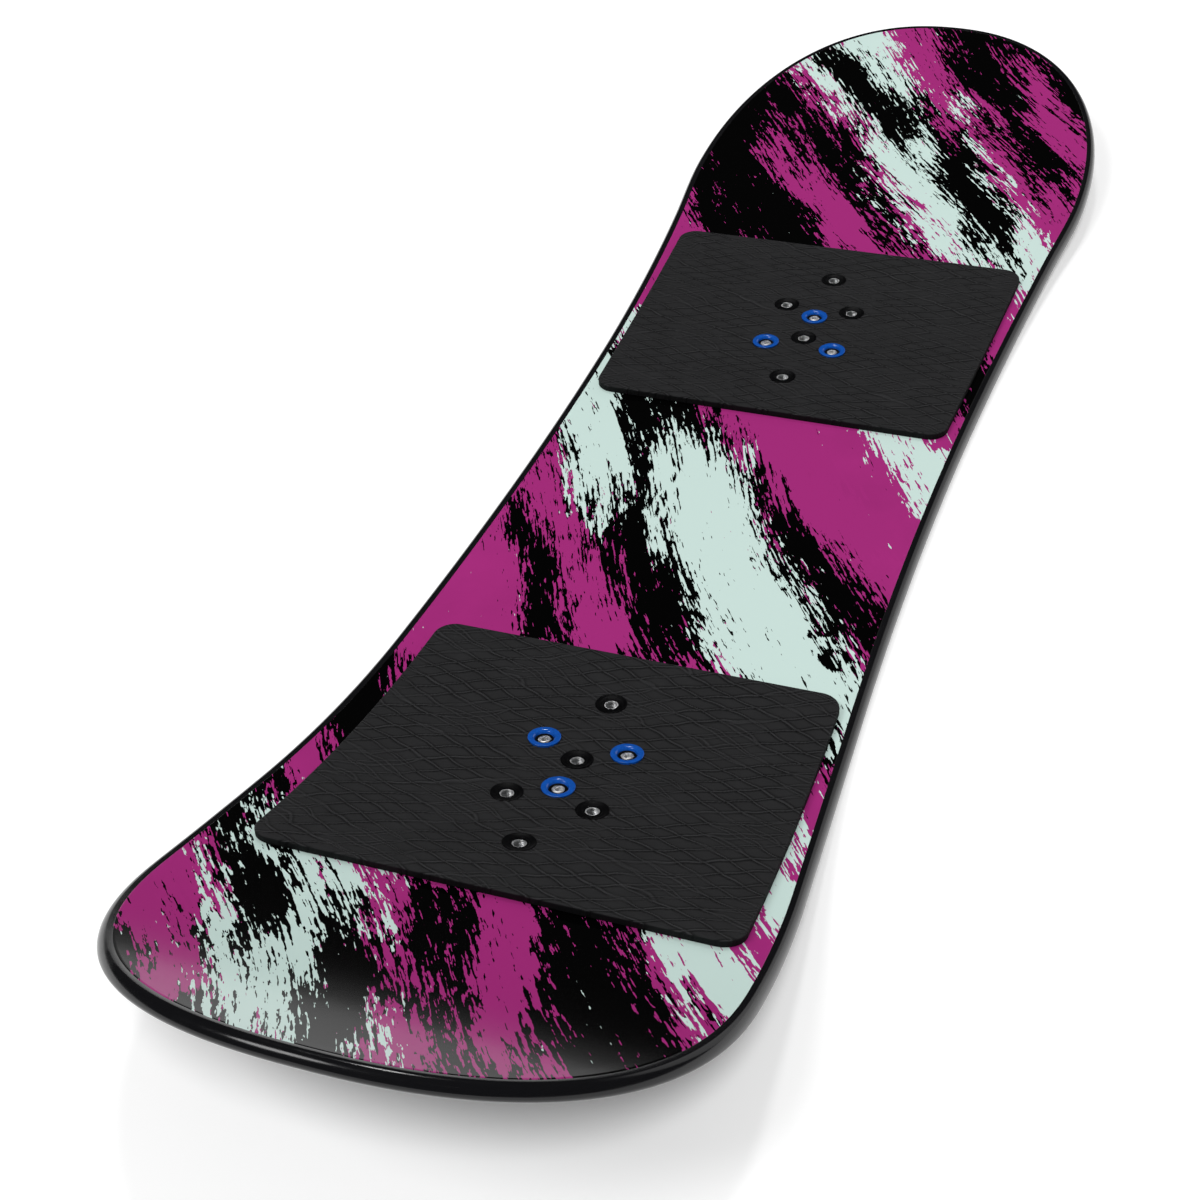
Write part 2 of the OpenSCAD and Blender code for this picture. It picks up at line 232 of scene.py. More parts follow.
def blend_half_width(t, start, end, slope, run):
    """Cubic from a height with a slope to a height with none, at share t of its run."""
    return (start * (2 * t**3 - 3 * t**2 + 1) + end * (3 * t**2 - 2 * t**3)
            + slope * run * (t**3 - 2 * t**2 + t))


def rounded_end(a, wide_x, reach, wide_y, full):
    """Super-ellipse quarter: sine and cosine of the angle, each to the power 2 / full."""
    return np.stack([wide_x + reach * np.sin(a) ** (2 / full),
                     wide_y * np.cos(a) ** (2 / full)], 1)


# Steps along each side of the board
EDGE_STEPS = 600
# The edge's sections stay this much further inside the outline, so that a tilted end of
# the board is no longer than it should be
EDGE_MARGIN = 0.22 * MM


def left_side():
    """Left side of the outline from the tail tip to the nose tip, as points at equal
    distances: tail curve, blend, sidecut arc, blend and nose curve end to end."""
    b = settings().board
    nose_wide, tail_wide = b.total / 2 - b.nose, b.tail - b.total / 2
    nose_blend, tail_blend = nose_wide - b.blend, tail_wide + b.blend
    quarter = np.linspace(0, math.pi / 2, 3000)
    t = np.linspace(0, 1, 400)
    waist = np.linspace(tail_blend, nose_blend, 2000)

    def slope(x):
        return (x + b.waist_back) / math.sqrt(b.sidecut**2 - (x + b.waist_back) ** 2)

    nose_y, tail_y = sidecut_half_width(nose_blend), sidecut_half_width(tail_blend)
    tail = rounded_end(quarter[::-1], tail_wide, -b.tail, tail_y + b.tail_flare,
                       b.tail_full)
    tail_turn = np.stack([tail_blend - t * b.blend, blend_half_width(
        t, tail_y, tail_y + b.tail_flare, -slope(tail_blend), b.blend)], 1)[::-1]
    nose_turn = np.stack([nose_blend + t * b.blend, blend_half_width(
        t, nose_y, nose_y + b.nose_flare, slope(nose_blend), b.blend)], 1)
    nose = rounded_end(quarter, nose_wide, b.nose, nose_y + b.nose_flare, b.nose_full)
    sidecut = np.stack([waist, sidecut_half_width(waist)], 1)
    line = np.concatenate([tail, tail_turn[1:], sidecut[1:], nose_turn[1:], nose[1:]])
    run = np.concatenate([[0], np.cumsum(np.linalg.norm(np.diff(line, axis=0), axis=1))])
    at = np.linspace(0, run[-1], EDGE_STEPS + 1)
    return np.stack([np.interp(at, run, line[:, 0]), np.interp(at, run, line[:, 1])], 1)


def edge_frame():
    """Centre, outward direction and upward direction of the edge all the way round. The
    centre lies half a thickness inside the outline and half way up the edge, outward is
    tangent to the deck, and upward is square to it."""
    b = settings().board
    half = b.thickness / 2
    left = left_side()
    loop = np.concatenate([left, (left * [1, -1])[-2:0:-1]])
    ahead = np.roll(loop, -1, 0) - np.roll(loop, 1, 0)
    ahead /= np.linalg.norm(ahead, axis=1, keepdims=True)
    out = np.stack([-ahead[:, 1], ahead[:, 0]], 1)
    plan = loop - (half + EDGE_MARGIN) * out
    a = layer_slope(plan[:, 0], half)
    centre = np.column_stack([plan, layer_height(plan[:, 0], half)])
    outward = np.column_stack([out, out[:, 0] * np.tan(a)])
    outward /= np.linalg.norm(outward, axis=1, keepdims=True)
    upward = np.column_stack([-np.sin(a), np.zeros_like(a), np.cos(a)])
    return centre, outward, upward


def swept(frames, profile):
    """A profile of outward and upward distances carried along the edge: each point is
    the centre plus both distances along their directions."""
    centre, outward, upward = (f[:, None, :] for f in frames)
    return centre + profile[..., 0, None] * outward + profile[..., 1, None] * upward


def arc(centre, radius, start, end, count):
    """Points on a circle from one angle to another, in degrees."""
    t = np.radians(np.linspace(start, end, count))
    return np.stack([centre[0] + radius * np.cos(t), centre[1] + radius * np.sin(t)], 1)


# Mesh helpers

# Points that are closer than this, in metres, are one point
MERGE = 2e-6


def grid_faces(rows, columns, close_rows=False, close_columns=False, copies=1):
    """Quads between neighbouring points of grids of rows by columns points."""
    r = np.arange(rows if close_rows else rows - 1)[:, None]
    c = np.arange(columns if close_columns else columns - 1)[None, :]
    r1, c1 = (r + 1) % rows, (c + 1) % columns
    quads = np.stack([r * columns + c, r1 * columns + c, r1 * columns + c1,
                      r * columns + c1], -1).reshape(-1, 4)
    first = rows * columns * np.arange(copies)
    return (quads[None] + first[:, None, None]).reshape(-1, 4).tolist()


def new_object(name, data):
    """An object of that mesh, lamp or camera in the scene."""
    made = bpy.data.objects.new(name, data)
    bpy.context.scene.collection.objects.link(made)
    return made


def closed_piece(name, points, faces):
    """An object whose coinciding points are merged and whose faces point outwards."""
    mesh = bpy.data.meshes.new(name)
    mesh.from_pydata(points.reshape(-1, 3).tolist(), [], faces)
    work = bmesh.new()
    work.from_mesh(mesh)
    bmesh.ops.remove_doubles(work, verts=work.verts, dist=MERGE)
    bmesh.ops.recalc_face_normals(work, faces=work.faces)
    work.to_mesh(mesh)
    work.free()
    return new_object(name, mesh)


def finish_piece(piece, finish, node, sharp=35):
    """Shades a piece smooth up to an angle in degrees, gives it its finish and ties it to
    the frame in a node's stead."""
    piece.data.shade_smooth()
    piece.data.set_sharp_from_angle(angle=math.radians(sharp))
    piece.data.materials.clear()
    piece.data.materials.append(finish)
    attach(piece, "root")
    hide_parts(node)


def store(mesh, name, values):
    """Keeps a vector for each point of a mesh under a name that a finish can read."""
    kept = mesh.attributes.new(name, "FLOAT_VECTOR", "POINT")
    kept.data.foreach_set("vector", np.asarray(values, np.float32).ravel())


def mesh_points(mesh):
    """Coordinates of a mesh's points as rows."""
    flat = np.empty(len(mesh.vertices) * 3)
    mesh.vertices.foreach_get("co", flat)
    return flat.reshape(-1, 3)


# Pads and places

# Points round a cup, a ring, a screw or a hole
TURNS = 72


def pad_places():
    """Centre, side offset and direction towards the waist of the front and rear pads."""
    p = settings().pads
    return {"front": (p.stance / 2 - p.setback, 0.0, -1),
            "rear": (-p.stance / 2 - p.setback, -p.rear_side, 1)}


def insert_places(kind):
    """Stations of the open or the plugged inserts of a pad: the station of the plane
    that each stands on, and its two offsets in that plane."""
    f = settings().fittings
    high, half = f.triangle * math.sin(math.pi / 3), f.triangle / 2
    centre = f.triangle_x - high / 3
    opened = [(f.end, 0, 0), (-centre, high * 2 / 3, 0), (-centre, -high / 3, half),
              (-centre, -high / 3, -half), (-f.end, 0, 0)]
    plugged = [(centre, high / 3, half), (centre, high / 3, -half),
               (centre, -high * 2 / 3, 0)]
    return {"open": opened, "plugged": plugged, "all": opened + plugged}[kind]


def on_deck(points, pad, kind):
    """Copies of local points at the inserts of a pad, standing square on the deck's
    tangent plane and raised by as much as the deck rises above that plane."""
    deck = settings().board.thickness
    centre, side, way = pad_places()[pad]
    station, shift, aside = (v[:, None, None] for v in np.array(insert_places(kind)).T)
    x, u = centre + way * station, way * shift
    a = layer_slope(x, deck)
    rise = np.cos(a) * (layer_height(x + u * np.cos(a), deck) - layer_height(x, deck)
                        - u * np.sin(a))
    px, py, pz = (points[None, ..., i] for i in range(3))
    px, pz = px + u, pz + rise
    return np.stack([x + px * np.cos(a) - pz * np.sin(a), side + aside + py,
                     layer_height(x, deck) + px * np.sin(a) + pz * np.cos(a)], -1)


def turned(profile, turns, flats=None):
    """A profile of radii and heights turned about its own axis: radius times cosine,
    radius times sine, height. Points marked in flats follow a hexagon instead."""
    t = np.arange(turns) * 2 * math.pi / turns
    radius = np.repeat(profile[:, 0, None], turns, 1)
    if flats is not None:
        side = math.pi / 3
        hexagon = math.cos(side / 2) / np.cos(t % side - side / 2)
        radius = np.where(flats[:, None], radius * hexagon, radius)
    return np.stack([radius * np.cos(t), radius * np.sin(t),
                     np.repeat(profile[:, 1, None], turns, 1)], -1)


def fitting(name, pad, *parts):
    """An object with copies of turned points at the inserts of a pad. Each part is the
    points, the inserts that they stand at and whether their profile is closed."""
    points, faces, count = [], [], 0
    for shape, kind, closed in parts:
        placed = on_deck(shape, pad, kind)
        quads = np.array(grid_faces(*shape.shape[:2], closed, True, len(placed)))
        faces += (quads + count).tolist()
        points.append(placed.reshape(-1, 3))
        count += len(points[-1])
    return closed_piece(name, np.concatenate(points), faces)


def cut_holes(piece, pad, radius):
    """Cuts a round hole through a piece at each insert of a pad, from inside the core to
    above the pad."""
    low, high = -settings().board.thickness, 2 * settings().pads.top
    profile = np.array([(0, low), (radius, low), (radius, high), (0, high)])
    cut = piece.modifiers.new("holes", "BOOLEAN")
    cut.operation = "DIFFERENCE"
    cut.solver = "MANIFOLD"
    cut.object = fitting("cutter", pad, (turned(profile, TURNS), "all", False))
    scene_state = bpy.context.evaluated_depsgraph_get()
    mesh = bpy.data.meshes.new_from_object(piece.evaluated_get(scene_state))
    bpy.data.objects.remove(cut.object)
    piece.modifiers.clear()
    piece.data = mesh
    if not len(mesh.polygons):
        raise RuntimeError("cutting the holes left nothing")


# Finishes

def add_node(tree, kind, inputs=None, stops=(), **options):
    """Adds a node: options are its properties, and stops the places and grey levels of a
    ramp. Each input gets a value, or is linked to a socket or to a node's first output.
    A colour gets full opacity."""
    made = tree.nodes.new("ShaderNode" + kind)
    for name, value in options.items():
        setattr(made, name, value)
    for name, value in (inputs or {}).items():
        socket = made.inputs[name]
        if isinstance(value, bpy.types.Node):
            value = value.outputs[0]
        if isinstance(value, bpy.types.NodeSocket):
            tree.links.new(value, socket)
        else:
            socket.default_value = (*value, 1.0) if socket.type == "RGBA" else value
    while stops and len(made.color_ramp.elements) < len(stops):
        made.color_ramp.elements.new(0.5)
    for i, (place, level) in enumerate(stops):
        made.color_ramp.elements[i].position = place
        made.color_ramp.elements[i].color = (level, level, level, 1)
    return made


def new_finish(name):
    """An empty material, the function that adds its nodes, and the place on the piece
    that its patterns follow."""
    finish = bpy.data.materials.new(name)
    finish.use_nodes = True
    finish.node_tree.nodes.clear()
    add = partial(add_node, finish.node_tree)
    return finish, add, add("TexCoord").outputs["Object"]


def printed_topsheet():
    """Clear-coated nylon topsheet, printed from below: flat inks laid as dry brush
    strokes under a hard gloss that mirrors the lamps."""
    finish, add, place = new_finish("printed_nylon_topsheet")
    c = settings().colours
    cover, path = [add("SeparateXYZ", {
        0: add("Attribute", attribute_name=name).outputs["Vector"]}).outputs
        for name in ("strokes", "brush")]
    brushed = add("CombineXYZ", {0: path[0], 1: path[1]})

    # Ground ink with the faint unevenness of a large printed area, about 30 mm across
    cloud = add("TexNoise", {"Vector": place, "Scale": 1 / (30 * MM), "Detail": 4})
    tone = add("MapRange", {0: cloud, 1: 0.3, 2: 0.7, 3: 0.94, 4: 1.05})
    shade = add("HueSaturation", {"Value": tone, "Color": c.magenta})

    # Ink lies where its coverage, plus bristle streaks of 60 by 1.7 mm, dashes of 8 by
    # 1.6 mm and dry patches of 45 by 11 mm, passes one half
    inks = ((cover[0], c.ink, 0.0), (cover[1], c.mint, 7.3), (cover[2], c.ink, 13.1),
            (path[2], c.magenta, 21.7))
    for amount, ink, seed in inks:
        for run, width, weight in ((60, 1.7, 1.5), (8, 1.6, 1.9), (45, 11, 1.8)):
            stretched = add("Mapping", {
                "Vector": brushed, "Location": (seed, seed / 2, seed),
                "Scale": (1 / (run * MM), 1 / (width * MM), 1)})
            grain = add("TexNoise", {"Vector": stretched, "Scale": 1, "Detail": 2,
                                     "Roughness": 0.6})
            centred = add("Math", {0: grain, 1: 0.5}, operation="SUBTRACT")
            amount = add("Math", {0: centred, 1: weight, 2: amount},
                         operation="MULTIPLY_ADD")
        inked = add("MapRange", {0: amount, 1: 0.485, 2: 0.515},
                    interpolation_type="SMOOTHSTEP")
        shade = add("Mix", {0: inked, 6: shade, 7: ink}, data_type="RGBA").outputs[2]

    # Orange peel of the clear coat, about 6 mm from crest to crest
    peel = add("TexNoise", {"Vector": place, "Scale": 1 / (6 * MM), "Detail": 1})
    ripple = add("Bump", {"Height": peel, "Strength": 0.04, "Distance": 0.1 * MM})
    add("OutputMaterial", {0: add("BsdfPrincipled", {
        "Base Color": shade, "Roughness": 0.1, "IOR": 1.45, "Specular IOR Level": 0.18,
        "Normal": ripple})})
    return finish


def polished_rim():
    """Extruded polyethylene sidewall: black, polished round, with faint marks of the
    trimming that change its gloss."""
    finish, add, place = new_finish("polished_polyethylene_rim")
    marks = add("TexNoise", {"Vector": place, "Scale": 1 / (9 * MM), "Detail": 5})
    gloss = add("MapRange", {0: marks, 1: 0.35, 2: 0.7, 3: 0.13, 4: 0.2})
    grain = add("TexNoise", {"Vector": place, "Scale": 1 / (1.5 * MM), "Detail": 2})
    ripple = add("Bump", {"Height": grain, "Strength": 0.05, "Distance": 0.05 * MM})
    add("OutputMaterial", {0: add("BsdfPrincipled", {
        "Base Color": settings().colours.rim, "Roughness": gloss, "IOR": 1.5,
        "Specular IOR Level": 0.36, "Normal": ripple})})
    return finish


def sintered_base():
    """Sintered polyethylene running base: satin black with the fine stone-ground lines
    that run along it, 0.6 mm apart."""
    finish, add, place = new_finish("ground_polyethylene_base")
    lengthwise = add("Mapping", {
        "Vector": place, "Scale": (1 / (80 * MM), 1 / (0.6 * MM), 1 / (80 * MM))})
    lines = add("TexNoise", {"Vector": lengthwise, "Scale": 1, "Detail": 2})
    shade = add("Mix", {0: lines, 6: linear("#101013"), 7: linear("#1e1e22")},
                data_type="RGBA")
    gloss = add("MapRange", {0: lines, 3: 0.28, 4: 0.5})
    ground = add("Bump", {"Height": lines, "Strength": 0.3, "Distance": 0.04 * MM})
    add("OutputMaterial", {0: add("BsdfPrincipled", {
        "Base Color": shade.outputs[2], "Roughness": gloss, "IOR": 1.5,
        "Normal": ground})})
    return finish


def embossed_foam():
    """Moulded EVA foam: matt charcoal skin with an embossed net of thin ribs and a fine
    open grain. Painted shade and light: the ribs' grooves darker and their crests
    lighter, and the walls and rounded edge darker the further they turn from straight up."""
    finish, add, place = new_finish("embossed_eva_foam")
    c = settings().colours
    pitch = settings().pads.pitch / MM
    net = add("Attribute", attribute_name="net").outputs["Vector"]
    ways = add("SeparateXYZ", {0: net}).outputs

    # Every rib: its distance from the nearest line of its family, on a ramp 2.4 mm
    # long, as a height with a groove on each side of a crest
    height = None
    for family, sign in ((0, 0), (1, 0), (0, 1), (1, -1)):
        line = add("Math", {0: ways[2], 1: sign, 2: ways[family]},
                   operation="MULTIPLY_ADD")
        share = add("Math", {0: line, 1: 0.5}, operation="PINGPONG")
        away = add("Math", {0: share, 1: pitch / 2.4}, operation="MULTIPLY")
        rib = add("ValToRGB", {0: away}, (
            (0.0, 0.98), (0.16, 0.8), (0.32, 0.2), (0.5, 0.38), (0.72, 0.5)))
        height = rib if height is None else add("Math", {0: height, 1: rib},
                                                operation="ADD")
    grain = add("TexNoise", {"Vector": place, "Scale": 1 / (0.9 * MM), "Detail": 3})
    blotch = add("TexNoise", {"Vector": place, "Scale": 1 / (14 * MM), "Detail": 3})
    # Painted shade and highlight: the ribs' height also sets the colour, darker in the
    # grooves, down to 0.4 of the pad's value, and lighter on the crests, up to 1.72 of it
    rib_shade_and_light = add("MapRange", {0: height, 1: 1.5, 2: 2.6, 3: 0.4, 4: 1.72})
    uneven = add("MapRange", {0: blotch, 1: 0.3, 2: 0.7, 3: 0.92, 4: 1.08})
    tone = add("Math", {0: rib_shade_and_light, 1: uneven}, operation="MULTIPLY")
    face = add("HueSaturation", {"Value": tone, "Color": c.pad})
    # Painted shade: the further a face turns from straight up, on the walls and the
    # rounded edge, the more it takes the darker wall colour
    upward_share = add("SeparateXYZ", {0: add("NewGeometry").outputs["Normal"]})
    top = add("MapRange", {0: upward_share.outputs[2], 1: 0.1, 2: 0.75})
    shade = add("Mix", {0: top, 6: c.pad_wall_shade, 7: face}, data_type="RGBA")
    pores = add("Bump", {"Height": grain, "Strength": 0.35, "Distance": 0.12 * MM})
    ribs = add("Bump", {"Height": height, "Strength": 1, "Distance": 0.5 * MM,
                        "Normal": pores})
    add("OutputMaterial", {0: add("BsdfPrincipled", {
        "Base Color": shade.outputs[2], "Roughness": 0.8, "IOR": 1.45,
        "Specular IOR Level": 0.25, "Normal": ribs})})
    return finish


def moulded_nylon(name, value, rough, speck, shine=0.5):
    """Injection-moulded nylon: even colour with a slight gloss, broken by a fine grain
    and by darker specks in the pigment."""
    finish, add, place = new_finish(name)
    pigment = add("TexNoise", {"Vector": place, "Scale": 1 / (0.9 * MM), "Detail": 3})
    tone = add("MapRange", {0: pigment, 1: 0.3, 2: 0.7, 3: 1 - speck, 4: 1 + speck})
    shade = add("HueSaturation", {"Value": tone, "Color": value})
    grain = add("TexNoise", {"Vector": place, "Scale": 1 / (0.5 * MM), "Detail": 1})
    skin = add("Bump", {"Height": grain, "Strength": 0.12, "Distance": 0.03 * MM})
    gloss = add("MapRange", {0: grain, 3: rough * 0.85, 4: rough * 1.15})
    add("OutputMaterial", {0: add("BsdfPrincipled", {
        "Base Color": shade, "Roughness": gloss, "IOR": 1.53,
        "Specular IOR Level": shine, "Normal": skin})})
    return finish


def plated_steel(name, value, rough):
    """Plated turned steel: bright metal whose fine crystals spread the reflections a
    little and unevenly."""
    finish, add, place = new_finish(name)
    crystals = add("TexNoise", {"Vector": place, "Scale": 1 / (0.7 * MM), "Detail": 3})
    gloss = add("MapRange", {0: crystals, 1: 0.3, 2: 0.7, 3: rough * 0.8,
                             4: rough * 1.2})
    tone = add("MapRange", {0: crystals, 1: 0.3, 2: 0.7, 3: 0.92, 4: 1.04})
    shade = add("HueSaturation", {"Value": tone, "Color": value})
    add("OutputMaterial", {0: add("BsdfPrincipled", {
        "Base Color": shade, "Metallic": 1, "Roughness": gloss})})
    return finish


# Scale of a wave that repeats every metre
WAVE = 0.314


def glass_laminate():
    """Glass cloth in epoxy: a pale green plain weave with threads 1.6 mm apart."""
    finish, add, place = new_finish("glass_epoxy_laminate")
    warp, weft = [add("TexWave", {"Vector": place, "Scale": WAVE / (1.6 * MM)},
                      bands_direction=way).outputs["Fac"] for way in "XY"]
    cloth = add("Math", {0: warp, 1: weft}, operation="MULTIPLY")
    shade = add("Mix", {0: cloth, 6: linear("#a9b08f"), 7: linear("#d6dbc2")},
                data_type="RGBA")
    weave = add("Bump", {"Height": cloth, "Strength": 0.3, "Distance": 0.1 * MM})
    add("OutputMaterial", {0: add("BsdfPrincipled", {
        "Base Color": shade.outputs[2], "Roughness": 0.35, "IOR": 1.55,
        "Normal": weave})})
    return finish


def poplar_core():
    """Planed poplar: strips 18 mm wide glued side by side, with grain along them."""
    finish, add, place = new_finish("planed_poplar_core")
    strips = add("TexWave", {"Vector": place, "Scale": WAVE / (36 * MM)},
                 bands_direction="Y")
    lengthwise = add("Mapping", {
        "Vector": place, "Scale": (1 / (90 * MM), 1 / (1.8 * MM), 1 / (4 * MM))})
    grain = add("TexNoise", {"Vector": lengthwise, "Scale": 1, "Detail": 4})
    step = add("Math", {0: strips.outputs["Fac"], 1: 0.5}, operation="GREATER_THAN")
    light = add("Math", {0: step, 1: 0.25, 2: grain}, operation="MULTIPLY_ADD")
    shade = add("Mix", {0: light, 6: linear("#a97f4a"), 7: linear("#dcc08d")},
                data_type="RGBA")
    add("OutputMaterial", {0: add("BsdfPrincipled", {
        "Base Color": shade.outputs[2], "Roughness": 0.6, "IOR": 1.45})})
    return finish


def adhesive_film():
    """Pressure-sensitive film: milky, tacky and slightly cloudy."""
    finish, add, place = new_finish("acrylic_adhesive_film")
    cloud = add("TexNoise", {"Vector": place, "Scale": 1 / (8 * MM), "Detail": 3})
    shade = add("Mix", {0: cloud, 6: linear("#cfccbf"), 7: linear("#eceae2")},
                data_type="RGBA")
    add("OutputMaterial", {0: add("BsdfPrincipled", {
        "Base Color": shade.outputs[2], "Roughness": 0.3, "IOR": 1.47,
        "Subsurface Weight": 0.1})})
    return finish


def studio_floor():
    """Matt white floor: it keeps the board's shadow, and a faint glow that only the
    camera and mirrors see lifts its lit part to white."""
    finish, add, _ = new_finish("matt_white_floor")
    seen = add("LightPath").outputs
    either = add("Math", {0: seen["Is Camera Ray"], 1: seen["Is Glossy Ray"]},
                 operation="MAXIMUM")
    mirrors = add("Math", {0: either, 1: seen["Is Transmission Ray"]},
                  operation="MAXIMUM")
    glow = add("Math", {0: mirrors, 1: 0.1}, operation="MULTIPLY")
    matt = add("BsdfDiffuse", {"Color": (0.95, 0.95, 0.95)})
    both = add("AddShader", {0: matt, 1: add("Emission", {"Strength": glow})})
    add("OutputMaterial", {0: both})
    return finish


# Print

STROKE_LEAN = math.radians(32)

# Brush strokes of the print in millimetres and degrees: station, side, turn from the
# common lean, half length and half width
STROKES = {
    "black_under": (
        (-452, -72, 4, 140, 46), (-506, 62, -4, 84, 40), (-350, 100, 2, 72, 18),
        (-225, 113, 3, 82, 18), (-42, 44, -5, 160, 50), (-150, -66, 3, 102, 30),
        (96, -107, 2, 82, 18), (296, 62, 5, 170, 56), (432, -68, -2, 122, 46)),
    "mint": (
        (-424, 46, 2, 98, 27), (-396, -114, 0, 62, 15), (-300, -108, -2, 70, 14),
        (-104, -34, 4, 126, 27), (20, 97, -3, 92, 17), (12, -92, 2, 62, 13),
        (122, 105, 2, 72, 13), (350, -10, 3, 160, 32), (480, 66, -6, 70, 22),
        (250, -94, 2, 72, 20)),
    "black_over": (
        (-472, 2, -3, 82, 14), (-386, 86, 3, 62, 12), (-80, -64, 2, 92, 15),
        (-132, 62, -2, 62, 10), (322, -42, -4, 102, 16), (412, 38, 3, 82, 14),
        (262, 98, -2, 62, 12)),
    "magenta_over": (
        (-406, -32, -4, 84, 15), (-442, 94, 3, 60, 9), (-16, -42, 4, 88, 16),
        (-160, 22, -3, 68, 13), (-60, 90, 2, 54, 8), (262, 18, 4, 92, 14),
        (396, -96, 2, 84, 12), (442, 12, 3, 60, 8)),
}


def stroke_cover(x, y, strokes):
    """Coverage of a set of strokes at points: half plus half the distance inside the
    stroke, over 46 mm at its ends and some 14 mm at its sides, whichever is less, for
    the stroke that covers most. Each stroke's side line waves a little."""
    best = np.full(x.shape, -9.0)
    for i, (cx, cy, turn, reach, width) in enumerate(strokes):
        lean = STROKE_LEAN + math.radians(turn)
        p = (x - cx) * math.cos(lean) + (y - cy) * math.sin(lean)
        q = (y - cy) * math.cos(lean) - (x - cx) * math.sin(lean)
        q = q + 5 * np.sin(p / 48 + 1.9 * i) + 2.5 * np.sin(p / 17 + 2.7 * i)
        inside = np.minimum((reach - np.abs(p)) / 46,
                            (width * (1 - 0.3 * (p / reach) ** 2) - np.abs(q))
                            / (8 + 0.24 * width))
        best = np.maximum(best, inside)
    return np.clip(0.5 + 0.5 * best, -0.3, 1.08)


def store_print(mesh):
    """Keeps the coverage of each ink and the position along and across the brush."""
    points = mesh_points(mesh) / MM
    x, y = points[:, 0], points[:, 1]
    black, mint, black_over, magenta_over = (
        stroke_cover(x, y, strokes) for strokes in STROKES.values())
    along = x * math.cos(STROKE_LEAN) + y * math.sin(STROKE_LEAN)
    across = y * math.cos(STROKE_LEAN) - x * math.sin(STROKE_LEAN)
    across = across + 9 * np.sin(along / 95) + 3 * np.sin(along / 37 + across / 60)
    store(mesh, "strokes", np.stack([black, mint, black_over], 1))
    store(mesh, "brush", np.stack([along * MM, across * MM, magenta_over], 1))


# Board

# The edge sections of a sheet reach this far inwards of the edge's centre
SHEET_INNER = 6 * MM
# Clearance of a sheet's holes round the inserts
SLEEVE_CLEAR = 0.05 * MM
# Seam between the running base and the rim
BASE_SEAM = 0.05 * MM
# How far the rim's inner face lies under the topsheet's seam
RIM_TUCK = 0.04 * MM
# Depth of the rim's inner corners below the layers' faces
RIM_SEAT = 0.3 * MM
# Distance of the rim's widest line below half its height, where the edge is level
RIM_LOW = 1.8 * MM


def build_sheet(name, low, high, side, roll, columns_top, columns_low):
    """A sheet of the board between two heights: at every station a closed section of
    its upper face, one edge profile, its lower face and the other edge profile. An edge
    profile runs round two rolled corners. At the tips both edges meet, so that the
    sections close the sheet."""
    half = settings().board.thickness / 2
    low, high = low - half, high - half
    ring = swept(edge_frame(), np.concatenate([
        [(-SHEET_INNER, high), (-SHEET_INNER / 2, high)],
        arc((side - roll, high - roll), roll, 90, 0, 6),
        arc((side - roll, low + roll), roll, 0, -90, 4),
        [(-SHEET_INNER / 2, low), (-SHEET_INNER, low)]]))
    left = ring[:EDGE_STEPS + 1]
    right = left * [1, -1, 1]
    across_top = np.linspace(0, 1, columns_top)[None, 1:-1, None]
    across_low = np.linspace(0, 1, columns_low)[None, 1:-1, None]
    upper = left[:, :1] * (1 - across_top) + right[:, :1] * across_top
    lower = right[:, -1:] * (1 - across_low) + left[:, -1:] * across_low
    section = np.concatenate([upper, right, lower, left[:, ::-1]], 1)
    faces = grid_faces(*section.shape[:2], False, True)
    return closed_piece(name, section, faces)


def clear_inserts(sheet):
    """Cuts a sheet's holes round all the inserts."""
    for pad in pad_places():
        cut_holes(sheet, pad, settings().fittings.sleeve + SLEEVE_CLEAR)


class SNOWBOARD_OT_topsheet(bpy.types.Operator):
    """Builds the printed topsheet."""
    bl_idname = "snowboard.topsheet"
    bl_label = "Topsheet"

    def execute(self, context):
        b = settings().board
        sheet = build_sheet("printed_topsheet", b.thickness - b.topsheet, b.thickness,
                            b.thickness / 2 - b.rim - b.gap / 2, 0.28 * MM, 49, 3)
        clear_inserts(sheet)
        store_print(sheet.data)
        finish_piece(sheet, printed_topsheet(), "topsheet")
        return {"FINISHED"}


class SNOWBOARD_OT_base_sheet(bpy.types.Operator):
    """Builds the running base."""
    bl_idname = "snowboard.base_sheet"
    bl_label = "Running base"

    def execute(self, context):
        b = settings().board
        sheet = build_sheet("running_base", 0.0, b.base,
                            b.thickness / 2 - b.rim - BASE_SEAM, 0.15 * MM, 3, 25)
        finish_piece(sheet, sintered_base(), "base_sheet")
        return {"FINISHED"}


class SNOWBOARD_OT_rim(bpy.types.Operator):
    """Builds the black side rim."""
    bl_idname = "snowboard.rim"
    bl_label = "Side rim"

    def execute(self, context):
        b = settings().board
        half = b.thickness / 2
        inner = half - b.rim - b.gap / 2 - RIM_TUCK
        frames = edge_frame()
        # Outer face: a quarter ellipse above the widest line and another below it. The
        # line lies low on the sides, and nearer the middle where the edge is tilted.
        tilt = np.abs(frames[2][:, 0] * frames[1][:, 0])[:, None]
        low = RIM_LOW / (1 + 5 * tilt)
        t = np.radians(np.linspace(84, -79, 41))
        height = np.where(t > 0, half + low, half - low)
        round_face = np.stack([half * np.cos(t) + 0 * low, height * np.sin(t) - low], 2)

        def inner_corners(*heights):
            pair = np.array([(inner, height) for height in heights])
            return np.broadcast_to(pair, (len(low), len(pair), 2))

        profile = np.concatenate([
            inner_corners(half - b.topsheet - RIM_SEAT, half - RIM_SEAT / 3), round_face,
            inner_corners(2 * RIM_SEAT / 3 - half, b.base - half + RIM_SEAT)], 1)
        ring = swept(frames, profile)
        faces = grid_faces(*ring.shape[:2], True, True)
        rim = closed_piece("side_rim", ring, faces)
        finish_piece(rim, polished_rim(), "rim")
        return {"FINISHED"}


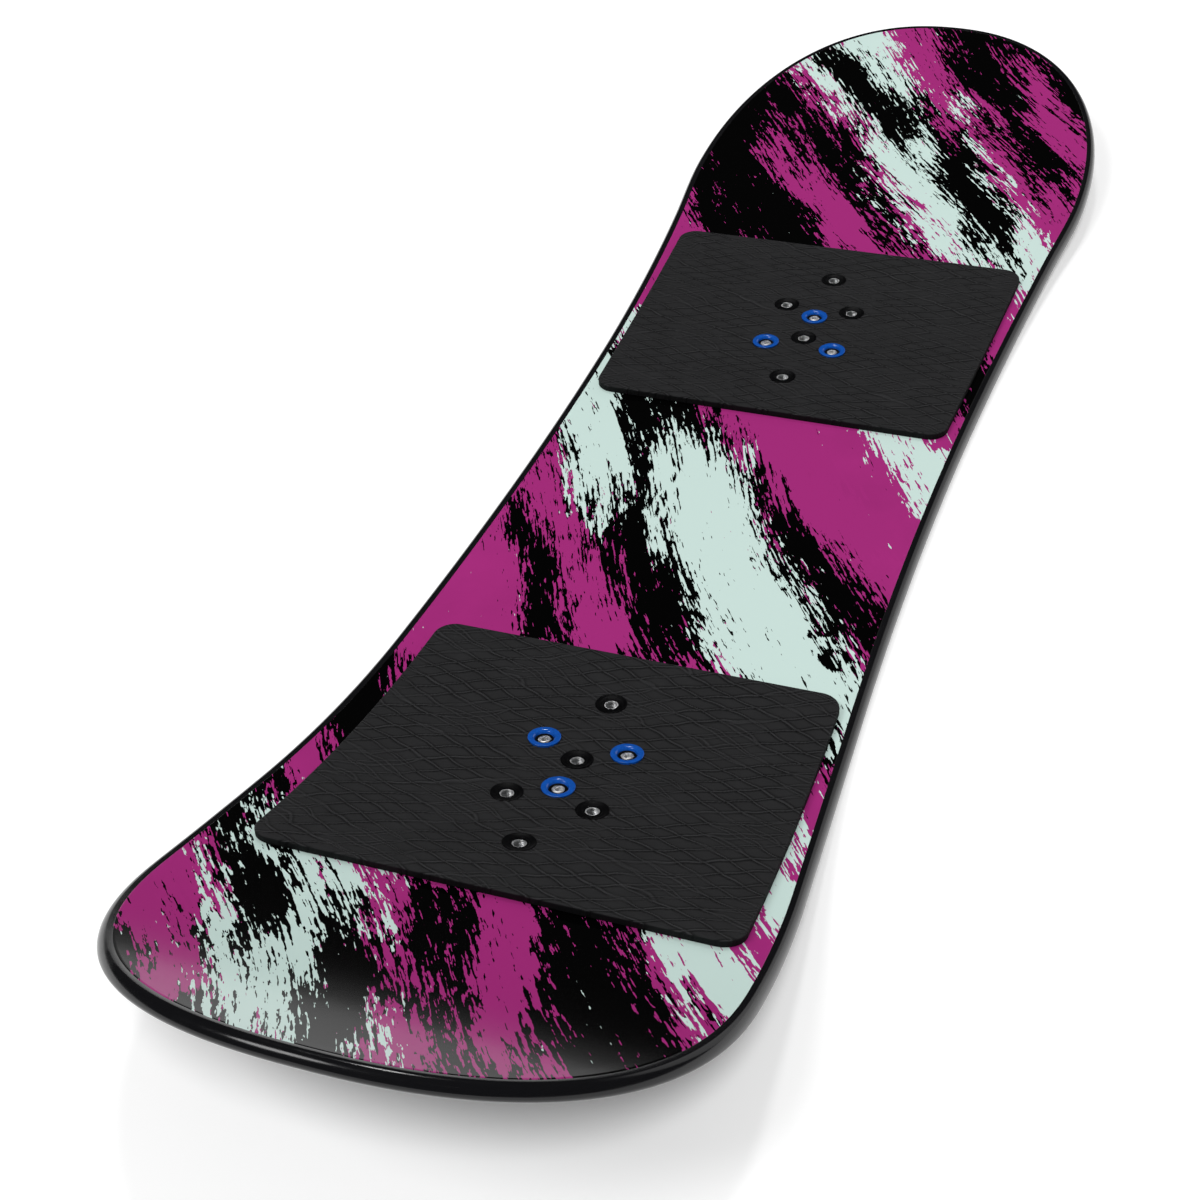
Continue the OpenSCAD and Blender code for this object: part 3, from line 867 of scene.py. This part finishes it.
class SNOWBOARD_OT_layers(bpy.types.Operator):
    """Builds the upper laminate, and gives the other hidden layers, the spacers and the
    adhesive sheets their finishes."""
    bl_idname = "snowboard.layers"
    bl_label = "Core layers"

    def execute(self, context):
        b = settings().board
        laminate, film = glass_laminate(), adhesive_film()
        spacer = moulded_nylon("moulded_abs_spacer", linear("#2c2c30"), 0.4, 0.06)
        top = b.thickness - b.topsheet
        sheet = build_sheet("upper_glass_laminate", top - b.laminate, top,
                            b.thickness / 2 - b.rim - b.gap, 0.1 * MM, 25, 25)
        clear_inserts(sheet)
        finish_piece(sheet, laminate, "upper_laminate")
        finishes = {"lower_laminate": laminate, "wood_core": poplar_core(),
                    "nose_spacer": spacer, "tail_spacer": spacer,
                    "front_adhesive": film, "rear_adhesive": film}
        for node, finish in finishes.items():
            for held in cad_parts[node].material_slots:
                held.material = finish
        return {"FINISHED"}


# Pads

# Segments along half a corner arc, a side and an end of a pad
PAD_ARC, PAD_SIDE, PAD_END = 12, 230, 258
# Clearance of a pad's holes round the cups
CUP_CLEAR = 0.08 * MM


def pad_outline(out):
    """Outline of a pad moved outwards by a distance, in station and side, counter-
    clockwise from the middle of its front left corner: four corner arcs whose centres
    stay, joined by straight sides."""
    p = settings().pads
    slope = math.atan(p.flare / p.along)
    middle = p.inner + p.flare / 2
    radius = p.corner + out
    corners = []
    for end, start_angle, end_angle in ((1, 0, math.pi / 2 - slope),
                                        (-1, math.pi / 2 - slope, math.pi)):
        x = end * (p.along / 2 - p.corner)
        y = middle - p.flare / p.along * x - p.corner / math.cos(slope)
        t = np.linspace(start_angle, end_angle, 2 * PAD_ARC + 1)
        corners.append(np.stack([x + radius * np.cos(t), y + radius * np.sin(t)], 1))
    corners += [corners[1][::-1] * [1, -1], corners[0][::-1] * [1, -1]]
    parts = []
    for i, count in enumerate((PAD_SIDE, PAD_END, PAD_SIDE, PAD_END)):
        after = corners[(i + 1) % 4]
        share = np.linspace(0, 1, count + 1)[1:-1, None]
        parts += [corners[i], corners[i][-1] * (1 - share) + after[0] * share]
    return np.roll(np.concatenate(parts), -PAD_ARC, 0)


def pad_grid(loop):
    """Points inside a closed loop of four sides: each is the mean of its place between
    two opposite sides and its place between the other two, less the bilinear mean of
    the four corners."""
    n, m = PAD_SIDE + 2 * PAD_ARC, PAD_END + 2 * PAD_ARC
    top, left = loop[:n + 1], loop[n:n + m + 1]
    bottom = loop[n + m:2 * n + m + 1][::-1]
    right = np.roll(loop, -1, 0)[2 * n + m - 1:][::-1]
    u = np.linspace(0, 1, n + 1)[:, None, None]
    v = np.linspace(0, 1, m + 1)[None, :, None]
    return (top[:, None] * (1 - v) + bottom[:, None] * v
            + right[None] * (1 - u) + left[None] * u
            - (1 - u) * (1 - v) * top[0] - u * (1 - v) * top[-1]
            - (1 - u) * v * bottom[0] - u * v * bottom[-1])


def net_lines(s, y):
    """Place of a point among the two families of ribs, counted in ribs, and how far
    doubled ribs stand apart: straight leaning lines plus slow and fast waves, in mm."""
    p = settings().pads
    pitch, run = p.pitch / MM, 1 / math.tan(p.lean)
    slow = 1.5 * np.sin(s / 19 + y / 31 + 1.3) + 0.9 * np.sin(s / 9.1 - y / 15.7 + 2.1)
    other = 1.3 * np.sin(s / 23 - y / 27 + 4.2) + 1.0 * np.sin(s / 8.3 + y / 17.9 + 0.4)
    fast = 0.42 * np.sin(s / 2.9 + y / 4.7 + 0.7) + 0.3 * np.sin(y / 2.3 - s / 5.1)
    jerk = 0.4 * np.sin(s / 3.3 - y / 4.1 + 2.9) + 0.3 * np.sin(y / 2.7 + s / 4.3 + 5.0)
    first = (s + y * run + slow + fast) / pitch
    second = (s - y * run + other + jerk) / pitch
    apart = 0.34 * np.clip(np.sin(s / 11.3 + y / 23.9) * np.sin(y / 13.1 - s / 29.7 + 1.1)
                           + 0.25 * np.sin(s / 4.9 + y / 6.1), 0, 1)
    return first, second, apart


def net_relief(s, y):
    """Relief of the net as a share of its height: a crest on each line of either
    family, and a groove 0.95 mm to each side of it, both as bell curves."""
    pitch = settings().pads.pitch / MM
    first, second, apart = net_lines(s, y)
    relief = np.zeros_like(s)
    for line in (first, second, first + apart, second - apart):
        away = np.abs(line - np.round(line)) * pitch
        relief += 0.45 * np.exp(-(away / 0.5) ** 2)
        relief -= 0.6 * np.exp(-((away - 0.95) / 0.4) ** 2)
    return np.clip(relief, -1, 1)


def build_pad(pad):
    """A foam pad on the deck: an embossed upper face, rounded upper edge and upright
    wall, and a lower face that follows the deck in strips from side to side."""
    s = settings()
    p, deck = s.pads, s.board.thickness
    centre, side, way = pad_places()[pad]
    grid = pad_grid(pad_outline(-p.edge))
    n, m = grid.shape[:2]
    flat = grid.reshape(-1, 2)
    # Outward distance and drop of each ring round the face: the rounded upper edge, and
    # the wall down to its cut lower edge
    ring = [(p.edge * (math.cos(t) - 1), p.edge * (math.sin(t) - 1))
            for t in np.radians([72, 54, 36, 18, 0])]
    ring += [(0, p.adhesive - p.top + 0.2 * MM), (-0.2 * MM, p.adhesive - p.top)]
    loops = [pad_outline(out) for out, _ in ring]
    plan = np.concatenate([flat] + loops)
    count = len(loops[0])
    drop = np.concatenate([np.zeros(len(flat))] + [np.full(count, d) for _, d in ring])
    # The net fades out over the last 3 mm before the pad's border
    border = np.minimum(p.along / 2 - np.abs(plan[:, 0]), p.inner - np.abs(plan[:, 1]))
    fade = np.clip((border / MM - 0.5) / 2.5, 0, 1)
    relief = net_relief(plan[:, 0] / MM, plan[:, 1] / MM) * fade * (drop == 0)
    x = centre + way * plan[:, 0]
    level = p.top - 0.4 * p.relief + 0.5 * p.relief * relief + drop
    points = np.column_stack([x, side + plan[:, 1], layer_height(x, deck + level)])

    faces = grid_faces(n, m)
    index = np.arange(n * m).reshape(n, m)
    rings = [np.concatenate([index[:-1, 0], index[-1, :-1], index[:0:-1, -1],
                             index[0, :0:-1]])]
    rings += [len(flat) + count * i + np.arange(count) for i in range(len(ring))]
    for above, below in zip(rings, rings[1:]):
        faces += np.stack([above, np.roll(above, -1), np.roll(below, -1), below],
                          1).tolist()
    last = rings[-1]
    left, right = last[:n], last[n + m - 2:2 * n + m - 2][::-1]
    faces += np.stack([left[:-1], left[1:], right[1:], right[:-1]], 1)[1:-1].tolist()
    front = np.concatenate([last[2 * n + m - 3:], last[:2], right[1:2]])
    rear = np.concatenate([left[-2:-1], last[n - 1:n + m - 1], right[-2:-1]])
    faces += [front.tolist(), rear.tolist()]
    return closed_piece(pad + "_foot_pad", points, faces)


def store_net(mesh, pad):
    """Keeps each point's place in the net of ribs."""
    centre, side, way = pad_places()[pad]
    points = mesh_points(mesh)
    store(mesh, "net", np.stack(net_lines((points[:, 0] - centre) * way / MM,
                                          (points[:, 1] - side) / MM), 1))


class SNOWBOARD_OT_pads(bpy.types.Operator):
    """Builds the two embossed foam pads."""
    bl_idname = "snowboard.pads"
    bl_label = "Foot pads"

    def execute(self, context):
        foam = embossed_foam()
        for pad in pad_places():
            piece = build_pad(pad)
            cut_holes(piece, pad, settings().fittings.cup + CUP_CLEAR)
            store_net(piece.data, pad)
            finish_piece(piece, foam, pad + "_pad")
        return {"FINISHED"}


# Fittings

# Distance of a blue ring's opening outside the insert's sleeve, in millimetres
RING_CLEAR = 0.1
# Heights of the undersides of the cups and the inserts above the deck, in millimetres
CUP_LOW, INSERT_LOW = 0.35, -4.8


def fit_out(name, finish, slot, *parts):
    """Makes a set of fittings for each pad and ties it to the frame."""
    for pad in pad_places():
        piece = fitting(f"{pad}_{name}", pad, *parts)
        finish_piece(piece, finish, f"{pad}_{slot}s", sharp=40)


class SNOWBOARD_OT_cups(bpy.types.Operator):
    """Builds the black cups round the open inserts and the black seats of the rings."""
    bl_idname = "snowboard.cups"
    bl_label = "Cups and seats"

    def execute(self, context):
        s = settings()
        f = s.fittings
        top, mouth, r, sleeve = s.pads.top / MM, f.mouth / MM, f.cup / MM, f.sleeve / MM
        step = sleeve + RING_CLEAR
        floor = mouth + 0.2
        # Outer wall and the underside round the sleeve, the same for cups and seats
        under = [(r, CUP_LOW + 0.15), (r - 0.15, CUP_LOW), (sleeve + 0.1, CUP_LOW),
                 (sleeve, CUP_LOW + 0.1), (sleeve, mouth)]
        dish = np.linspace(0, 1, 7)[:, None]
        slope = (1 - dish) * [sleeve + 0.3, floor + 0.14] + dish * [r - 0.5, top - 0.05]
        slope[:, 1] -= 0.12 * np.sin(math.pi * dish[:, 0])
        cup = np.concatenate([
            [(3.1, mouth)], arc((3.18, floor - 0.08), 0.08, 180, 90, 4),
            [(sleeve - 0.1, floor)],
            arc((sleeve + 0.05, floor + 0.06), 0.06, 270, 330, 3), slope,
            arc((r - 0.2, top - 0.2), 0.2, 110, 0, 7), under]) * MM
        seat = np.concatenate([
            [(2.8, mouth)], arc((2.88, floor - 0.08), 0.08, 180, 90, 4),
            [(step - 0.05, floor), (step, floor - 0.05), (step, mouth),
             (r - 0.05, mouth), (r, mouth - 0.05)], under]) * MM
        nylon = moulded_nylon("moulded_black_nylon", s.colours.cup, 0.42, 0.1, 0.08)
        fit_out("cup_set", nylon, "cup", (turned(cup, TURNS), "open", True),
                (turned(seat, TURNS), "plugged", True))
        return {"FINISHED"}


class SNOWBOARD_OT_rings(bpy.types.Operator):
    """Builds the blue rings on their seats."""
    bl_idname = "snowboard.rings"
    bl_label = "Rings"

    def execute(self, context):
        s = settings()
        f = s.fittings
        ring, foot, mouth = f.ring / MM, f.ring_foot / MM, f.mouth / MM
        pad_top, top = s.pads.top / MM, (s.pads.top + f.ring_rise) / MM
        inner = f.sleeve / MM + RING_CLEAR
        # Up the opening, over its full lip, across the flange and back under its edge
        profile = np.concatenate([
            [(inner, mouth)],
            arc((0, 0), 1, 172, 92, 14) * [1.5, 1.1] + [inner + 1.7, top - 1.1],
            [(ring - 1.2, top + 0.02)], arc((ring - 0.25, top - 0.25), 0.25, 88, 0, 7),
            [(ring, top - 0.3), (foot, pad_top), (foot, mouth)]]) * MM
        nylon = moulded_nylon("moulded_blue_nylon", s.colours.ring, 0.14, 0.16)
        fit_out("ring_set", nylon, "ring", (turned(profile, TURNS), "plugged", True))
        return {"FINISHED"}


class SNOWBOARD_OT_inserts(bpy.types.Operator):
    """Builds the threaded inserts."""
    bl_idname = "snowboard.inserts"
    bl_label = "Threaded inserts"

    def execute(self, context):
        f = settings().fittings
        bore, sleeve, foot = f.bore / MM, f.sleeve / MM, f.foot / MM
        mouth, low, chamfer = f.mouth / MM, INSERT_LOW, 0.15
        turns = 48
        body = np.array([
            (0, low), (foot - chamfer, low), (foot, low + chamfer), (foot, low + 0.9),
            (foot - 0.1, low + 1), (sleeve + 0.1, low + 1), (sleeve, low + 1.1),
            (sleeve, mouth - 0.1), (sleeve - 0.1, mouth), (bore + 0.15, mouth),
            (bore, mouth - 0.15)])
        shell = turned(body, turns)
        # Thread: the bore's radius grows and falls once per pitch, and moves up one
        # pitch per turn, fading out at the mouth and at the closed end
        z = np.linspace(mouth - 0.2, low + 1.05, 60)[:, None]
        t = (np.arange(turns) / turns)[None, :]
        phase = (z / (f.thread_pitch / MM) - t) % 1
        fade = np.clip(np.minimum(mouth - z, z - low - 1.3) / 0.9, 0, 1)
        radius = bore + f.thread / MM * fade * (1 - np.abs(2 * phase - 1))
        around = 2 * math.pi * t
        thread = np.stack([radius * np.cos(around), radius * np.sin(around),
                           np.broadcast_to(z, radius.shape)], -1)
        end = turned(np.array([(bore, low + 1), (0, low + 1)]), turns)
        points = np.concatenate([shell, thread, end]) * MM
        steel = plated_steel("zinc_plated_steel", settings().colours.steel, 0.52)
        fit_out("insert_set", steel, "insert", (points, "all", False))
        return {"FINISHED"}


class SNOWBOARD_OT_plugs(bpy.types.Operator):
    """Builds the plug screws with their hexagon sockets."""
    bl_idname = "snowboard.plugs"
    bl_label = "Plug screws"

    def execute(self, context):
        f = settings().fittings
        bore, mouth, dome = f.bore / MM - 0.03, f.mouth / MM, 0.35
        corner = f.socket / MM / 2 / math.cos(math.pi / 6)
        low = mouth - 5
        across = np.linspace(bore - 0.12, corner + 0.2, 7)
        cap = np.stack([across, mouth + dome * (1 - (across / bore) ** 2)], 1)
        rim = mouth + dome * (1 - (corner / bore) ** 2)
        floor = mouth + dome - 1.5
        profile = np.concatenate([
            [(0, low), (bore - 0.4, low), (bore, low + 0.4), (bore, mouth - 0.06)], cap,
            [(corner + 0.06, rim - 0.02), (corner, rim - 0.12), (corner, floor),
             (0, floor - 0.25)]])
        flats = np.zeros(len(profile), bool)
        flats[-3:] = True
        points = turned(profile, TURNS, flats) * MM
        steel = plated_steel("nickel_plated_steel", settings().colours.screw, 0.5)
        fit_out("plug_screws", steel, "plug", (points, "plugged", False))
        return {"FINISHED"}


# Stage

# Distance of the floor below the board's base, so that they are never one face
FLOOR_GAP = 0.2 * MM


def heading(azimuth, elevation):
    """Direction of unit length with that azimuth from +X and that elevation."""
    return Vector((math.cos(azimuth) * math.cos(elevation),
                   math.sin(azimuth) * math.cos(elevation), math.sin(elevation)))


def sun(name, strength, azimuth, elevation, width):
    """A distant round lamp in a direction, whose width is the angle that it fills, all
    in degrees."""
    lamp = bpy.data.lights.new(name, "SUN")
    lamp.energy = strength
    lamp.angle = math.radians(width)
    made = new_object(name, lamp)
    away = heading(math.radians(azimuth), math.radians(elevation))
    made.rotation_euler = away.to_track_quat("Z", "Y").to_euler()
    return made


class SNOWBOARD_OT_stage(bpy.types.Operator):
    """Sets the floor, the lamps, the background and the camera."""
    bl_idname = "snowboard.stage"
    bl_label = "Stage"

    def execute(self, context):
        st = settings().studio
        scene = context.scene
        half = st.floor / 2
        corners = (-half, -half), (half, -half), (half, half), (-half, half)
        mesh = bpy.data.meshes.new("floor")
        mesh.from_pydata([(x, y, -FLOOR_GAP) for x, y in corners], [], [(0, 1, 2, 3)])
        mesh.materials.append(studio_floor())
        new_object("floor", mesh)

        # The lamp behind the camera lights the board but is not mirrored in it
        sun("front_lamp", st.front, 203, 55, 20).visible_glossy = False
        sun("key_lamp", st.key, 133, 52, 20)
        sun("back_lamp", st.back, 22, 58, 8)
        sun("right_lamp", st.right, -28, 14, 40)

        # The camera sees white all round. Mirrors see the pale backdrop up to 3 degrees
        # above the floor, beyond the nose only, and a dark ceiling over it.
        world = bpy.data.worlds.new("studio")
        world.use_nodes = True
        world.node_tree.nodes.clear()
        add = partial(add_node, world.node_tree)
        seen = add("LightPath").outputs
        where = add("SeparateXYZ", {0: add("TexCoord").outputs["Generated"]}).outputs
        beyond = add("MapRange", {0: where[0], 1: 0, 2: 0.6, 3: 0, 4: 0.3})
        backdrop = add("MapRange", {0: where[2], 1: 0, 2: math.sin(math.radians(3)),
                                    3: beyond, 4: 0})
        mirrors = add("Math", {0: seen["Is Glossy Ray"],
                               1: seen["Is Transmission Ray"]}, operation="MAXIMUM")
        mirrored = add("Math", {0: mirrors, 1: backdrop}, operation="MULTIPLY")
        white = add("Math", {0: mirrored, 1: seen["Is Camera Ray"]},
                    operation="MAXIMUM")
        dim = add("Mix", {0: mirrors, 2: st.room, 3: st.ceiling})
        level = add("Mix", {0: white, 2: dim, 3: 1})
        add("OutputWorld", {0: add("Background", {"Color": (1, 1, 1),
                                                  "Strength": level})})
        scene.world = world
        scene.view_settings.view_transform = "Standard"

        lens = bpy.data.cameras.new("camera")
        lens.lens = st.lens
        lens.sensor_width = 36
        lens.clip_end = 100
        camera = new_object("camera", lens)
        ahead = heading(st.azimuth, st.elevation)
        level_right = ahead.cross(Vector((0, 0, 1))).normalized()
        level_up = level_right.cross(ahead)
        right = level_right * math.cos(st.roll) + level_up * math.sin(st.roll)
        up = level_up * math.cos(st.roll) - level_right * math.sin(st.roll)
        turn = Matrix((right, up, -ahead)).transposed().to_4x4()
        camera.matrix_world = Matrix.Translation(st.camera_at) @ turn
        scene.camera = camera
        return {"FINISHED"}


class SNOWBOARD_PT_panel(bpy.types.Panel):
    """Buttons for the snowboard's pieces and its stage."""
    bl_idname = "SNOWBOARD_PT_panel"
    bl_label = "Snowboard"
    bl_space_type = "VIEW_3D"
    bl_region_type = "UI"
    bl_category = "Snowboard"

    def draw(self, context):
        for operator in OPERATORS:
            self.layout.operator(operator.bl_idname)
        for name in ("board", "pads", "fittings", "colours", "studio"):
            box = self.layout.box()
            box.label(text=name.capitalize())
            group = getattr(context.scene.snowboard, name)
            for setting in group.__annotations__:
                box.prop(group, setting)


OPERATORS = (SNOWBOARD_OT_topsheet, SNOWBOARD_OT_base_sheet, SNOWBOARD_OT_rim,
             SNOWBOARD_OT_layers, SNOWBOARD_OT_pads, SNOWBOARD_OT_cups,
             SNOWBOARD_OT_rings, SNOWBOARD_OT_inserts, SNOWBOARD_OT_plugs,
             SNOWBOARD_OT_stage)
CLASSES = (BoardSettings, PadSettings, FittingSettings, ColourSettings, StudioSettings,
           SnowboardSettings, *OPERATORS, SNOWBOARD_PT_panel)


def register():
    """Registers the classes and hangs the settings on the scene."""
    for one in CLASSES:
        bpy.utils.register_class(one)
    bpy.types.Scene.snowboard = PointerProperty(type=SnowboardSettings)


def unregister():
    """Takes the settings and the classes away again."""
    del bpy.types.Scene.snowboard
    for one in reversed(CLASSES):
        bpy.utils.unregister_class(one)


def main():
    """Builds every piece and the stage."""
    register()
    for operator in OPERATORS:
        getattr(bpy.ops.snowboard, operator.bl_idname.split(".")[1])()


if __name__ == "__main__":
    main()
